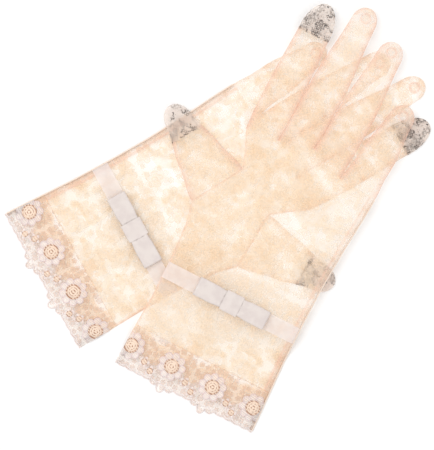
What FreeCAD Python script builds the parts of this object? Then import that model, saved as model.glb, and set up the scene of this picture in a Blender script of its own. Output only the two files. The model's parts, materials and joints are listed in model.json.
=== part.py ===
import FreeCAD, Part
import os
import Sketcher

# A pair of lace gloves lying flat, back of the hand up, the right glove across the left one.
# Millimetres, +Z up, z = 0 is the surface they lie on, and the origin is the middle of the pair's base.
# Each glove has its own frame: x across the hand, y from the cuff edge to the fingertips.
# Both are drawn as a right glove, thumb at -x; the left one is drawn with its x turned over.

sizes = {
    # cloth
    "lace_thick": 0.8,           # one layer of lace
    "hand_space": 2.0,           # between the two layers over the hand
    "mouth_space": 4.6,          # between the two layers at the cuff, which stands a little open
    "side_wide": 1.2,            # the fold along the thumb side and the seam along the other
    "joint_gap": 0.35,           # between a finger and what lies beside it
    "lay_gap": 0.3,              # between the two gloves
    # sleeve and hand
    "cuff_half": 43.7,           # half the width at the cuff
    "wrist_half": 42.0,          # half the width where the sleeve is narrowest
    "wrist_along": 45.0,
    "knuckle_left": -38.6,       # outer edge of the index finger at its root
    "edging_deep": 25.0,         # scalloped lace edging of the cuff
    "edging_slope": 12.0,        # length over which the back comes down from the cuff to the hand
    # fingers: where the root is along the hand, its turn, widths at root and tip, and length
    "index_along": 153.5, "index_turn": 0.0, "index_wide": 20.2, "index_tip": 18.6, "index_reach": 82.0,
    "middle_along": 158.5, "middle_turn": 1.2, "middle_wide": 20.2, "middle_tip": 18.4, "middle_reach": 87.0,
    "ring_along": 156.0, "ring_turn": 2.4, "ring_wide": 20.3, "ring_tip": 18.2, "ring_reach": 78.0,
    "little_along": 151.0, "little_turn": 4.6, "little_wide": 22.0, "little_tip": 17.0, "little_reach": 54.0,
    "thumb_across": -38.0, "thumb_along": 117.0, "thumb_turn": -58.0, "thumb_wide": 33.0,
    "thumb_tip": 19.5, "thumb_reach": 50.0,
    "finger_thick": 3.0,
    "cap_long": 17.0,            # touch-screen tip of the index finger and the thumb
    # cuff edging
    "flower_pitch": 26.0, "flower_shift": -1.0, "flower_along": 13.5,
    "petal_out": 5.0, "petal_radius": 3.2, "flower_eye": 4.2, "flower_thick": 1.4,
    "scallop_radius": 11.4, "scallop_back": 3.5, "lobe_radius": 3.2, "lobe_out": 1.2,
    # ribbon and bow
    "ribbon_along": 61.0, "ribbon_wide": 9.8, "ribbon_thick": 0.5,
    "bow_half": 22.0, "bow_wide": 11.2, "bow_thick": 2.6,
    "knot_half": 5.2, "knot_wide": 12.4, "knot_thick": 3.6,
    # how the pair lies
    "left_x": -101.47, "left_y": -36.86, "left_turn": -61.05,
    "cross_turn": 33.85,         # between the two gloves
    "meet_along": 31.0,          # where the right glove's thumb side comes over the left glove's edge
    "cross_along": 38.5,         # where the right cuff's middle is along the left glove
    "ramp_turn": 21.6, "ramp_long": 14.0, "ramp_spare": 2.2,
}

fingerNames = ["index", "middle", "ring", "little"]
flowersEachSide = 2
farOff = "400"                   # longer than anything in the pair

doc = FreeCAD.newDocument("lace_gloves")
sheet = doc.addObject("Spreadsheet::Sheet", "Sizes")
for row, (name, value) in enumerate(sizes.items(), start=1):
    sheet.set(f"A{row}", name)
    sheet.set(f"B{row}", str(value))
    sheet.setAlias(f"B{row}", name)
doc.recompute()


def cell(name):
    return f"Sizes.{name}"


def number(expression):
    return float(sheet.evalExpression(expression))


# Levels of the cloth, as expressions of the sheet
lift = f"({cell('lace_thick')} * 2 + {cell('hand_space')} + {cell('ribbon_thick')} + {cell('lay_gap')})"
mouthLevel = f"({cell('lace_thick')} + {cell('mouth_space')})"

# Where the right cuff's middle lies, seen from the left glove
crossAway = (f"({cell('cuff_half')} * (1 + cos({cell('cross_turn')} * 1deg))"
             f" + {cell('meet_along')} * sin({cell('cross_turn')} * 1deg))")


def placement(x, y, z, turn):
    """A placement expression: a point, and a turn about Z in degrees."""
    return (f"create(<<placement>>; create(<<vector>>; {x}; {y}; {z});"
            f" create(<<rotation>>; create(<<vector>>; 0; 0; 1); {turn}))")


class Glove:
    """One glove: its name, whether its x is turned over, its frame, and the height its hand lies at."""

    def __init__(self, name, side, frameExpression, base):
        self.name = name
        self.side = side
        self.base = base
        self.frame = doc.addObject("Part::LocalCoordinateSystem", f"{name}_frame")
        self.frame.setExpression("Placement", frameExpression)

    def across(self, expression):
        return f"({self.side} * ({expression}))"

    def at(self, x, y, z, turn="0"):
        """Placement of something drawn at a point of the glove, turned towards the fingertips' side."""
        return f"{self.name}_frame.Placement * " + placement(self.across(x), y, z, f"0 - {self.side} * ({turn})")

    @property
    def backLevel(self):
        return f"({self.base} + {cell('lace_thick')} + {cell('hand_space')})"


leftPlace = placement(cell("left_x"), cell("left_y"), "0", cell("left_turn"))
crossPlace = placement(crossAway, cell("cross_along"), "0", cell("cross_turn"))
left = Glove("left", -1, leftPlace, "0")
right = Glove("right", 1, f"{leftPlace} * {crossPlace}", lift)


# ---- drawing -------------------------------------------------------------------------------------

def newBody(name, place):
    body = doc.addObject("PartDesign::Body", name)
    body.setExpression("Placement", place)
    return body


def newSketch(body, name, role="XY_Plane", height="0"):
    sketch = body.newObject("Sketcher::SketchObject", name)
    plane = [feature for feature in body.Origin.OriginFeatures if feature.Role == role][0]
    sketch.AttachmentSupport = [(plane, "")]
    sketch.MapMode = "FlatFace"
    sketch.setExpression("AttachmentOffset.Base.z", height)
    return sketch


def bindPoint(sketch, element, end, x, y):
    for kind, expression in (("DistanceX", x), ("DistanceY", y)):
        constraint = sketch.addConstraint(
            Sketcher.Constraint(kind, -1, 1, element, end, number(expression)))
        sketch.setExpression(f"Constraints[{constraint}]", expression)


def drawOutline(sketch, points):
    corners = [FreeCAD.Vector(number(x), number(y), 0) for x, y in points]
    for start, end in zip(corners, corners[1:] + corners[:1]):
        sketch.addGeometry(Part.LineSegment(start, end), False)
    for index, (x, y) in enumerate(points):
        sketch.addConstraint(Sketcher.Constraint("Coincident", index, 2, (index + 1) % len(points), 1))
        bindPoint(sketch, index, 1, x, y)


def drawCircle(sketch, x, y, radius):
    centre = FreeCAD.Vector(number(x), number(y), 0)
    element = sketch.addGeometry(Part.Circle(centre, FreeCAD.Vector(0, 0, 1), number(radius)), False)
    bindPoint(sketch, element, 3, x, y)
    constraint = sketch.addConstraint(Sketcher.Constraint("Radius", element, number(radius)))
    sketch.setExpression(f"Constraints[{constraint}]", radius)


def pad(body, sketch, length, midplane=False):
    feature = body.newObject("PartDesign::Pad", f"{sketch.Name}_pad")
    feature.Profile = sketch
    feature.SideType = "Symmetric" if midplane else "One side"
    feature.setExpression("Length", length)
    body.Tip = feature
    return feature


def prism(name, place, outlines=(), circles=(), height=farOff, low="0"):
    """An upright solid: the sum of closed outlines and circles, each padded from low up by height."""
    body = newBody(name, place)
    for index, points in enumerate(outlines):
        sketch = newSketch(body, f"{name}_outline_{index}", height=low)
        drawOutline(sketch, points)
        pad(body, sketch, height)
    for index, (x, y, radius) in enumerate(circles):
        sketch = newSketch(body, f"{name}_circle_{index}", height=low)
        drawCircle(sketch, x, y, radius)
        pad(body, sketch, height)
    return body


# ---- how the two layers of a glove run: a slab follows a profile, seen along the glove ------------

def profileSlab(name, place, profile, low, high):
    """The space from low to high above a profile of (along, height) points."""
    body = newBody(name, place)
    sketch = newSketch(body, f"{name}_profile", role="YZ_Plane")
    lower = [(along, f"{level} + {low}") for along, level in profile]
    upper = [(along, f"{level} + {high}") for along, level in reversed(profile)]
    drawOutline(sketch, lower + upper)
    pad(body, sketch, f"2 * {farOff}", midplane=True)
    return body


def palmSlab(glove, name, low, high):
    """Along the lower layer: flat, and on the right glove up a ramp onto the left glove."""
    before = f"0 - {farOff}"
    if glove is left:
        return profileSlab(name, glove.at("0", "0", "0"), [(before, "0"), (farOff, "0")], low, high)
    rampTop = f"{cell('meet_along')} - {cell('ramp_spare')}"
    profile = [(before, "0"), (f"0 - {cell('ramp_long')}", "0"), ("0", lift), (farOff, lift)]
    place = (f"{glove.name}_frame.Placement * "
             + placement(f"0 - {cell('cuff_half')}", rampTop, "0", cell("ramp_turn")))
    return profileSlab(name, place, profile, low, high)


def backSlab(glove, name, low, high):
    """Along the underside of the upper layer: open at the cuff, then down to the flat of the hand."""
    slopeEnd = f"{cell('edging_deep')} + {cell('edging_slope')}"
    profile = [(f"0 - {farOff}", mouthLevel), (cell("edging_deep"), mouthLevel),
               (slopeEnd, glove.backLevel), (farOff, glove.backLevel)]
    return profileSlab(name, glove.at("0", "0", "0"), profile, low, high)


def common(label, shapes):
    piece = doc.addObject("Part::MultiCommon", label)
    piece.Shapes = shapes
    return piece


# ---- outlines of the hand -------------------------------------------------------------------------

def fingerAcross(name):
    """Middle of a finger's root: the fingers stand side by side from the index finger's outer edge."""
    terms = [cell("knuckle_left"), f"{cell(name + '_wide')} / 2"]
    for before in fingerNames[:fingerNames.index(name)]:
        terms.append(f"{cell(before + '_wide')} + {cell('joint_gap')}")
    return " + ".join(terms)


def rootCentre(name):
    across = cell("thumb_across") if name == "thumb" else fingerAcross(name)
    return across, cell(f"{name}_along")


def rootCorner(name, end, inward="0"):
    """Corner of the edge that a finger leaves in the hand, a joint gap behind the finger's own root."""
    across, along = rootCentre(name)
    turn = f"({cell(name + '_turn')} * 1deg)"
    half = f"({end} * ({cell(name + '_wide')} / 2 - {inward}))"
    x = f"{across} + {half} * cos({turn}) - {cell('joint_gap')} * sin({turn})"
    y = f"{along} - {half} * sin({turn}) - {cell('joint_gap')} * cos({turn})"
    return x, y


def handOutline(glove, start):
    points = [(f"0 - {cell('cuff_half')}", start), (f"0 - {cell('wrist_half')}", cell("wrist_along"))]
    points += [rootCorner("thumb", -1), rootCorner("thumb", 1)]
    for name in fingerNames:
        points += [rootCorner(name, -1), rootCorner(name, 1)]
    points += [(cell("wrist_half"), cell("wrist_along")), (cell("cuff_half"), start)]
    return [(glove.across(x), y) for x, y in points]


def strip(glove, line, width):
    """A strip of the given width inwards from a line of points."""
    inner = [(f"{x} + {width}", y) for x, y in reversed(line)]
    return [(glove.across(x), y) for x, y in line + inner]


def foldStrips(glove, start):
    """The fold along the thumb side: from the cuff to the thumb, and from the thumb to the index finger."""
    sleeve = [(f"0 - {cell('cuff_half')}", start), (f"0 - {cell('wrist_half')}", cell("wrist_along")),
              rootCorner("thumb", -1)]
    web = [rootCorner("thumb", 1), rootCorner("index", -1)]
    return [strip(glove, sleeve, cell("side_wide")), strip(glove, web, cell("side_wide"))]


def edgingOutline(glove):
    half = cell("cuff_half")
    return [(glove.across(x), y) for x, y in
            [(f"0 - {half}", cell("scallop_back")), (half, cell("scallop_back")),
             (half, cell("edging_deep")), (f"0 - {half}", cell("edging_deep"))]]


def flowerAcross(index):
    return f"{cell('flower_shift')} + {index + 0.5 - flowersEachSide} * {cell('flower_pitch')}"


# ---- sub-parts --------------------------------------------------------------------------------------

def makeBackPanel(glove):
    label = f"{glove.name}_back_panel"
    outline = prism(f"{label}_outline", glove.at("0", "0", "0"), [handOutline(glove, cell("edging_deep"))])
    common(label, [outline, backSlab(glove, f"{label}_slab", "0", cell("lace_thick"))])


def betweenLayers(glove, name, outlines):
    """A standing strip that fills the space between the two layers."""
    strips = prism(f"{name}_outline", glove.at("0", "0", "0"), outlines)
    above = palmSlab(glove, f"{name}_above", cell("lace_thick"), farOff)
    below = backSlab(glove, f"{name}_below", f"(0 - {farOff})", "0")
    return common(name, [strips, above, below])


def makePalmPanel(glove):
    label = f"{glove.name}_palm_panel"
    outline = prism(f"{label}_outline", glove.at("0", "0", "0"), [handOutline(glove, cell("edging_deep"))])
    layer = common(f"{label}_layer", [outline, palmSlab(glove, f"{label}_slab", "0", cell("lace_thick"))])
    fold = betweenLayers(glove, f"{label}_fold", foldStrips(glove, cell("edging_deep")))
    panel = doc.addObject("Part::MultiFuse", label)
    panel.Shapes = [layer, fold]


def makeSideSeam(glove):
    line = [(f"{cell('cuff_half')} - {cell('side_wide')}", cell("scallop_back")),
            (f"{cell('wrist_half')} - {cell('side_wide')}", cell("wrist_along")),
            rootCorner("little", 1, inward=cell("side_wide"))]
    betweenLayers(glove, f"{glove.name}_side_seam", [strip(glove, line, cell("side_wide"))])


def makeFinger(glove, name):
    """A finger: two layers lying together, drawn as one closed solid with a round end."""
    label = f"{glove.name}_{name}"
    across, along = rootCentre(name)
    place = glove.at(across, along, glove.base, cell(f"{name}_turn"))
    half = f"({cell(name + '_wide')} / 2)"
    tipRadius = f"({cell(name + '_tip')} / 2)"
    roundAlong = f"({cell(name + '_reach')} - {tipRadius})"
    outline = [(f"0 - {half}", "0"), (half, "0"), (tipRadius, roundAlong), (f"0 - {tipRadius}", roundAlong)]
    roundEnd = [("0", roundAlong, tipRadius)]
    if name not in ("thumb", "index"):
        prism(label, place, [outline], roundEnd, cell("finger_thick"))
        return
    whole = prism(f"{label}_whole", place, [outline], roundEnd, cell("finger_thick"))
    capAlong = f"({cell(name + '_reach')} - {cell('cap_long')})"
    for piece, low, high in ((label, "0", capAlong), (f"{label}_touch_tip", capAlong, farOff)):
        box = [(f"0 - {half}", low), (half, low), (half, high), (f"0 - {half}", high)]
        common(piece, [whole, prism(f"{piece}_stretch", place, [box])])


def makeEdging(glove):
    """The scalloped lace edging: a back half round the flowers, and a palm half with small lobes."""
    place = glove.at("0", "0", "0")
    flowers = range(2 * flowersEachSide)
    inner = flowers[1:-1]
    backName = f"{glove.name}_edging_back"
    scallops = [(glove.across(flowerAcross(index)), cell("flower_along"), cell("scallop_radius"))
                for index in inner]
    back = prism(f"{backName}_outline", place, [edgingOutline(glove)], scallops)
    common(backName, [back, backSlab(glove, f"{backName}_slab", "0", cell("lace_thick"))])
    palmName = f"{glove.name}_edging_palm"
    lobeAlong = f"{cell('scallop_back')} - {cell('lobe_out')}"
    lobes = [(glove.across(f"{flowerAcross(index)} + {cell('flower_pitch')} * {part}"), lobeAlong,
              cell("lobe_radius")) for index in flowers[:-1] for part in (0.35, 0.65)]
    palm = prism(f"{palmName}_outline", place, [edgingOutline(glove)], lobes)
    layer = common(f"{palmName}_layer", [palm, palmSlab(glove, f"{palmName}_slab", "0", cell("lace_thick"))])
    half = cell("cuff_half")
    foldLine = [(f"0 - {half}", cell("scallop_back")), (f"0 - {half}", cell("edging_deep"))]
    fold = betweenLayers(glove, f"{palmName}_fold", [strip(glove, foldLine, cell("side_wide"))])
    edging = doc.addObject("Part::MultiFuse", palmName)
    edging.Shapes = [layer, fold]


def makeFlowers(glove):
    """Raised flowers sewn on the edging; the outer two are cut off at the sides of the cuff."""
    half = cell("cuff_half")
    for index in range(2 * flowersEachSide):
        label = f"{glove.name}_flower_{index + 1}"
        centre = flowerAcross(index)
        body = newBody(f"{label}_outline", glove.at(centre, cell("flower_along"), "0"))
        eye = newSketch(body, f"{label}_eye")
        drawCircle(eye, "0", "0", cell("flower_eye"))
        pad(body, eye, farOff)
        petal = newSketch(body, f"{label}_petal")
        drawCircle(petal, "0", cell("petal_out"), cell("petal_radius"))
        petalPad = pad(body, petal, farOff)
        petals = body.newObject("PartDesign::PolarPattern", f"{label}_petals")
        petals.Originals = [petalPad]
        petals.Axis = (petal, ["N_Axis"])
        petals.Angle = 360
        petals.Occurrences = 6
        body.Tip = petals
        slab = backSlab(glove, f"{label}_slab", cell("lace_thick"),
                        f"({cell('lace_thick')} + {cell('flower_thick')})")
        cuff = prism(f"{label}_cuff", glove.at("0", "0", "0"),
                     [[(glove.across(x), y) for x, y in
                       [(f"0 - {half}", "0"), (half, "0"), (half, cell("edging_deep")),
                        (f"0 - {half}", cell("edging_deep"))]]])
        common(label, [body, slab, cuff])


def makeRibbon(glove):
    """The ribbon across the back, sewn in at both sides."""
    label = f"{glove.name}_ribbon"
    low = f"{cell('ribbon_along')} - {cell('ribbon_wide')} / 2"
    high = f"{cell('ribbon_along')} + {cell('ribbon_wide')} / 2"
    half = cell("wrist_half")
    outline = [(glove.across(x), y) for x, y in
               [(f"0 - {half}", low), (half, low), (half, high), (f"0 - {half}", high)]]
    body = prism(f"{label}_outline", glove.at("0", "0", "0"), [outline])
    top = f"({cell('lace_thick')} + {cell('ribbon_thick')})"
    common(label, [body, backSlab(glove, f"{label}_slab", cell("lace_thick"), top)])


def makeBow(glove):
    """A flat tailored bow: two loops, held by a wrap round their middle."""
    seat = f"{glove.backLevel} + {cell('lace_thick')} + {cell('ribbon_thick')}"
    place = glove.at("0", cell("ribbon_along"), seat)
    loopHigh = f"({cell('bow_wide')} / 2)"
    start = f"({cell('knot_half')} + {cell('joint_gap')})"
    for name, side in (("inner", -1), ("outer", 1)):
        ends = [(start, f"0 - {loopHigh}"), (cell("bow_half"), f"0 - {loopHigh}"),
                (cell("bow_half"), loopHigh), (start, loopHigh)]
        outline = [(glove.across(f"{side} * {x}"), y) for x, y in ends]
        prism(f"{glove.name}_bow_{name}", place, [outline], height=cell("bow_thick"))
    knotHigh = f"({cell('knot_wide')} / 2)"
    ends = [("-1", "-1"), ("1", "-1"), ("1", "1"), ("-1", "1")]
    outline = [(f"{x} * {cell('knot_half')}", f"{y} * {knotHigh}") for x, y in ends]
    prism(f"{glove.name}_bow_knot", place, [outline], height=cell("knot_thick"))


for glove in (left, right):
    makePalmPanel(glove)
    makeBackPanel(glove)
    makeSideSeam(glove)
    for name in ["thumb"] + fingerNames:
        makeFinger(glove, name)
    makeEdging(glove)
    makeFlowers(glove)
    makeRibbon(glove)
    makeBow(glove)
doc.recompute()

subPartEnds = (["palm_panel", "back_panel", "side_seam", "thumb", "thumb_touch_tip", "index", "index_touch_tip",
                "middle", "ring", "little", "edging_palm", "edging_back", "ribbon",
                "bow_inner", "bow_outer", "bow_knot"]
               + [f"flower_{index + 1}" for index in range(2 * flowersEachSide)])
subParts = [doc.getObject(f"{glove.name}_{end}") for glove in (left, right) for end in subPartEnds]

for item in doc.Objects:
    if "Invalid" in item.State or "Error" in item.State:
        raise RuntimeError(f"{item.Name} did not build: {item.State}")
for piece in subParts:
    piece.Label = piece.Name
    if piece.Shape.isNull() or not piece.Shape.isValid():
        raise RuntimeError(f"{piece.Label} has no valid shape")

os.makedirs("parts", exist_ok=True)
whole = FreeCAD.BoundBox()
for piece in subParts:
    piece.Shape.exportStep(f"parts/{piece.Label}.step")
    whole.add(piece.Shape.BoundBox)
    print(f"{piece.Label}: {len(piece.Shape.Solids)} solid(s), {piece.Shape.Volume:.1f} mm3")
print(f"box {whole.XMin:.2f} {whole.XMax:.2f} | {whole.YMin:.2f} {whole.YMax:.2f} | {whole.ZMin:.2f} {whole.ZMax:.2f}")
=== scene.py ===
import json
import math
import bmesh
import bpy
from mathutils import Matrix, Vector, noise


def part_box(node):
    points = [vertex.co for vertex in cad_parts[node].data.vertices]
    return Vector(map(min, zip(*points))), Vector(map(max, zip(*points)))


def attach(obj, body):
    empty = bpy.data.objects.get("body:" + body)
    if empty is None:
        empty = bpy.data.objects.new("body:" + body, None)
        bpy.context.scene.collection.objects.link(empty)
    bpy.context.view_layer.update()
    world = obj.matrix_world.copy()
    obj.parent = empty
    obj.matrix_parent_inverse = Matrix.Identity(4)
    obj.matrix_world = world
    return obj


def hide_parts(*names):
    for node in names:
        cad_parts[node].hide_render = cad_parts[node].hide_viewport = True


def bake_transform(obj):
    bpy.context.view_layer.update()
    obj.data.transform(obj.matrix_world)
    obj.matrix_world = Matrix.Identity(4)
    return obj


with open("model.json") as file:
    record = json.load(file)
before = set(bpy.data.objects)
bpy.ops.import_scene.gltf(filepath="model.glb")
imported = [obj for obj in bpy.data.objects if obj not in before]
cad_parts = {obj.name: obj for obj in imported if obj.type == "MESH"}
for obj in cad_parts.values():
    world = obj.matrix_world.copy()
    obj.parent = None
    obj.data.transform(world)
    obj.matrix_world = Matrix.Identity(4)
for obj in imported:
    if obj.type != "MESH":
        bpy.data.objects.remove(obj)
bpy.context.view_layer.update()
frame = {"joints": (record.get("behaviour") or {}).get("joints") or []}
joints = {joint["name"]: joint for joint in frame["joints"]}
mm = 0.001
fingerNames = ["index", "middle", "ring", "little"]

# each glove has a frame of its own: x across the hand with the thumb at -x, y from the cuff to the fingertips

pairLay = {
    "ribbonAlong": 61 * mm,      # bow's middle above the cuff edge
    "lift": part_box("right_index")[0][2],      # how high the right glove's hand lies
    "rampTop": (-43.7 * mm, 28.8 * mm),       # a point of the line where it has reached that height
    "rampTurn": math.radians(21.6),
    "rampLong": 15 * mm,
    "clear": 0.3 * mm,           # cloth above what it lies on
}


class gloveFrame:
    def __init__(self, name):
        self.name = name
        self.side = 1 if name == "right" else -1
        inner = Vector(joints[f"{name}_bow_inner_lift"]["pos_m"])
        outer = Vector(joints[f"{name}_bow_outer_lift"]["pos_m"])
        self.across = (outer - inner).normalized()
        self.along = Vector((0, 0, 1)).cross(self.across) * self.side
        self.origin = (inner + outer) / 2 - self.along * pairLay["ribbonAlong"]
        self.origin.z = 0
        self.body = f"{name}_glove"

    def place(self, x, y, z):
        return self.origin + self.across * x + self.along * y + Vector((0, 0, z))

    def local(self, point):
        away = Vector(point) - self.origin
        return away.dot(self.across), away.dot(self.along)


rightFrame, leftFrame = gloveFrame("right"), gloveFrame("left")


def smooth(value):
    value = min(max(value, 0.0), 1.0)
    return value * value * (3 - 2 * value)


def mix(a, b, share):
    return a + (b - a) * share


def restHeight(glove, x, y):                  # the surface that the glove's lower layer lies on
    if glove.side < 0:
        return pairLay["clear"]
    awayX, awayY = x - pairLay["rampTop"][0], y - pairLay["rampTop"][1]
    beyond = awayY * math.cos(pairLay["rampTurn"]) - awayX * math.sin(pairLay["rampTurn"])
    return pairLay["clear"] + pairLay["lift"] * smooth(beyond / (pairLay["rampLong"] + 3 * mm) + 0.92)


# outline of the hand, as smooth lines through a few points (x, y) in millimetres

handShape = {
    "thumbSide": [(-43.7, 0), (-43.3, 22), (-42.2, 45), (-42.6, 72), (-44.2, 92), (-47.0, 102.4),
                  (-29.6, 132.0), (-33.2, 142), (-38.4, 153)],
    "seamSide": [(43.7, 0), (42.8, 22), (41.8, 45), (41.5, 70), (41.8, 92), (43.2, 118), (45.0, 140),
                 (45.6, 151)],
    "thumbRoot": ((-47.0, 102.4), (-29.6, 132.0)),
    "knuckles": [(-38.4, 153), (-18.6, 155.4), (1.6, 160.4), (22.4, 152.2), (45.6, 151)],
    "puff": 2.9, "mouthPuff": 5.4, "fingerPuff": 2.7,     # height of the upper layer over the lower one
    "edgingDeep": 25.0, "mouthSlope": 20.0, "knuckleFade": 24.0,
    "wrinkle": 0.42, "allowance": 3.2, "rimWide": 1.8,
    "grid": (112, 72),                        # columns and rows of each layer's mesh
}


def lineAt(points, y):                        # x of a line of points at a height y, eased between points
    for (x0, y0), (x1, y1) in zip(points, points[1:]):
        if y <= y1:
            return mix(x0, x1, min(max((y - y0) / (y1 - y0), 0), 1))
    return points[-1][0]


def softLineAt(points, y, reach=3.0):
    return sum(lineAt(points, y + step * reach / 2) for step in (-2, -1, 0, 1, 2)) / 5


def handEdges(y):
    low, high = handShape["thumbRoot"][0][1], handShape["thumbRoot"][1][1]
    thumbSide = handShape["thumbSide"]
    left = lineAt(thumbSide, y) if low - 4 < y < high + 4 else softLineAt(thumbSide, y)
    return left, softLineAt(handShape["seamSide"], y)


def knuckleAlong(x):
    points = [(y, x) for x, y in handShape["knuckles"]]
    return lineAt(points, x)


def fingerShare(x):                           # where x lies across its own finger, -1 to 1
    crotches = [x for x, y in handShape["knuckles"]]
    for low, high in zip(crotches, crotches[1:]):
        if x <= high or high == crotches[-1]:
            return min(max(2 * (x - low) / (high - low) - 1, -1), 1)


def wrinkleAt(x, y, seed):
    slow = noise.noise(Vector((x * 0.045, y * 0.028, seed)))
    fine = noise.noise(Vector((x * 0.16, y * 0.07, seed + 9.0)))
    return handShape["wrinkle"] * (slow + 0.35 * fine)


def upperRise(x, y):                          # height of the upper layer above the lower one, in millimetres
    left, right = handEdges(y)
    share = min(max(2 * (x - left) / (right - left) - 1, -1), 1)
    lens = (1 - abs(share) ** 3.2) ** 0.7
    mouth = 1 - smooth((y - handShape["edgingDeep"] + 6) / handShape["mouthSlope"])
    rise = lens * mix(handShape["puff"], handShape["mouthPuff"], mouth)
    toKnuckle = smooth(1 - (knuckleAlong(x) - y) / handShape["knuckleFade"])
    finger = handShape["fingerPuff"] * (1 - fingerShare(x) ** 2) ** 0.5
    rise = mix(rise, finger, toKnuckle * toKnuckle)
    return 0.2 + rise


def surfacePoint(glove, x, y, upper, extra=0.0):
    height = restHeight(glove, x * mm, y * mm)
    if upper:
        rise = upperRise(x, y)
        height += (rise + wrinkleAt(x, y, glove.side * 5) * min(rise / 2, 1)) * mm
    return glove.place(x * mm, y * mm, height + extra * mm)


def addObject(name, mesh, materials, body, replaced=()):
    piece = bpy.data.objects.new(name, mesh)
    bpy.context.scene.collection.objects.link(piece)
    for material in materials:
        mesh.materials.append(material)
    for face in mesh.polygons:
        face.use_smooth = True
    if replaced:
        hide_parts(*replaced)
    if body:
        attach(piece, body)
    return piece


def finishMesh(work, name, turn=False):
    if turn:
        bmesh.ops.reverse_faces(work, faces=work.faces[:])
    mesh = bpy.data.meshes.new(name)
    work.to_mesh(mesh)
    work.free()
    return mesh


def startCloth():
    work = bmesh.new()
    return work, work.loops.layers.uv.new("cloth"), work.verts.layers.float.new("rim")


def growRows(work, line, edges, count):       # extrudes a line or ring of vertices once for each further row
    grid = [line]
    for _ in range(count):
        made = bmesh.ops.extrude_edge_only(work, edges=edges)["geom"]
        fresh = {item for item in made if isinstance(item, bmesh.types.BMVert)}
        edges = [item for item in made if isinstance(item, bmesh.types.BMEdge) and set(item.verts) <= fresh]
        follow = {}
        for vertex in fresh:
            for edge in vertex.link_edges:
                other = edge.other_vert(vertex)
                if other not in fresh:
                    follow[other] = vertex
        grid.append([follow[vertex] for vertex in grid[-1]])
    return grid


def mapCloth(work, cloth, places):
    for face in work.faces:
        for loop in face.loops:
            loop[cloth].uv = places[loop.vert]


def wovenSheet(glove, name, columns, rows, pointAt, clothAt, flip=False):
    # a flat grid of rows, laid on its place
    work, cloth, rim = startCloth()
    line = [work.verts.new() for _ in range(columns + 1)]
    edges = [work.edges.new(pair) for pair in zip(line, line[1:])]
    grid = growRows(work, line, edges, rows)
    places = {}
    for row, vertices in enumerate(grid):
        for column, vertex in enumerate(vertices):
            x, y, z, border = pointAt(column / columns, row / rows)
            vertex.co = glove.place(x, y, z)
            vertex[rim] = border
            places[vertex] = clothAt(x, y)
    mapCloth(work, cloth, places)
    work.normal_update()
    upward = sum(face.normal.z for face in work.faces)
    return finishMesh(work, name, turn=(upward < 0) != flip)


def threadAlong(name, points, radius, sides=6, closed=False):
    # a thread is a ring swept along a line of points, closed at both ends
    curve = bpy.data.curves.new(name, "CURVE")
    curve.dimensions = "3D"
    spline = curve.splines.new("POLY")
    spline.points.add(len(points) - 1)
    for target, point in zip(spline.points, points):
        target.co = (*point, 1)
    spline.use_cyclic_u = closed
    curve.bevel_depth = radius
    curve.bevel_resolution = max(sides // 2 - 2, 0)
    curve.use_fill_caps = True
    holder = bpy.data.objects.new(name, curve)
    mesh = bpy.data.meshes.new_from_object(holder)
    bpy.data.objects.remove(holder)
    bpy.data.curves.remove(curve)
    return mesh


def joinMeshes(name, meshes):
    work = bmesh.new()
    for mesh in meshes:
        work.from_mesh(mesh)
        bpy.data.meshes.remove(mesh)
    return finishMesh(work, name)


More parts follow.
